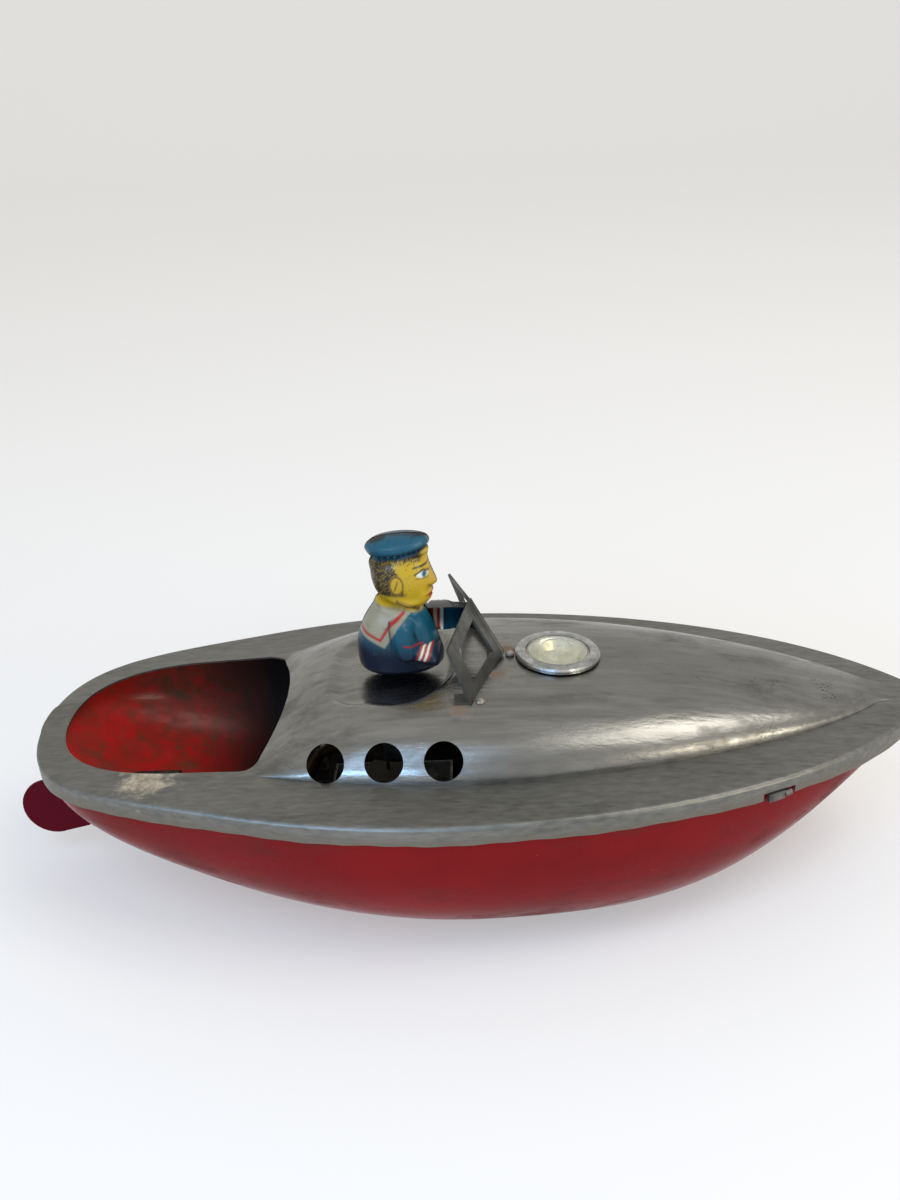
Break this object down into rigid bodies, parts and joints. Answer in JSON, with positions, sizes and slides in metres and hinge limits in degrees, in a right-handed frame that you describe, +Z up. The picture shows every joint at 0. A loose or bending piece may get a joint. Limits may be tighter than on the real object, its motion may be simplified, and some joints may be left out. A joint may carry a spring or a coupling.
{
  "type": "toy boat",
  "caption": "Tinplate steam toy boat with a deep red hull, bare metal deck, portholes, windscreen, seated driver, candle burner, boiler and rudder.",
  "frame": {"origin": "middle of the bounding box in plan, on the surface that the keel stands on", "axes": "+X to the bow, +Y to port, +Z up"},
  "size_m": [0.2406, 0.106, 0.0929],
  "materials": {
    "hull_red": "glossy red enamel, scratched and sooty",
    "deck_tin": "worn bare tinplate with scratches and pits",
    "dark_steel": "dull, darkened",
    "screen_zinc": "dull grey zinc",
    "solder": "rusty solder",
    "bezel_bright": "bright, lightly worn",
    "lens_clear": "clear",
    "reflector": "yellowed bright metal",
    "driver_litho": "printed tinplate, satin",
    "boiler_brass": "sooty brass",
    "tray_tin": "bare tinplate, sooty",
    "wax": "candle wax",
    "wick": "charred cotton",
    "rudder_red": "dark crimson enamel"
  },
  "bodies": {
    "hull_body": {"hull_shell": "hull_red", "deck": "deck_tin", "bow_fixing_tabs": "dark_steel", "windscreen": "screen_zinc", "windscreen_solder": "solder", "deck_light_bezel": "bezel_bright", "deck_light_lens": "lens_clear", "deck_light_reflector": "reflector", "driver_starboard_half": "driver_litho", "driver_port_half": "driver_litho", "driver_tabs": "dark_steel", "boiler_pan": "boiler_brass", "boiler_seam_ring": "boiler_brass", "boiler_hangers": "dark_steel", "water_tube_starboard": "boiler_brass", "water_tube_port": "boiler_brass", "tube_ferrules": "solder", "burner_cradle": "dark_steel", "rudder_bracket": "rudder_red", "rudder_pin": "dark_steel"},
    "rudder": {"rudder_blade": "rudder_red"},
    "burner": {"burner_tray": "tray_tin", "burner_handle": "tray_tin", "burner_candle": "wax", "burner_wick": "wick"},
    "diaphragm": {"boiler_diaphragm": "boiler_brass"}
  },
  "joints": [
    {"name": "rudder_turn", "type": "hinge", "parent": "hull_body", "child": "rudder", "pos_m": [-0.10083, 0, 0.016], "axis": [0, 0, 1], "range_deg": [-35, 35]},
    {"name": "burner_slide", "type": "slide", "parent": "hull_body", "child": "burner", "axis": [-1, 0, 0], "range_m": [0, 0.028]},
    {"name": "diaphragm_flex", "type": "slide", "parent": "hull_body", "child": "diaphragm", "axis": [0, 0, 1], "range_m": [-0.00025, 0.00025], "stiffness_N_per_m": 200}
  ]
}
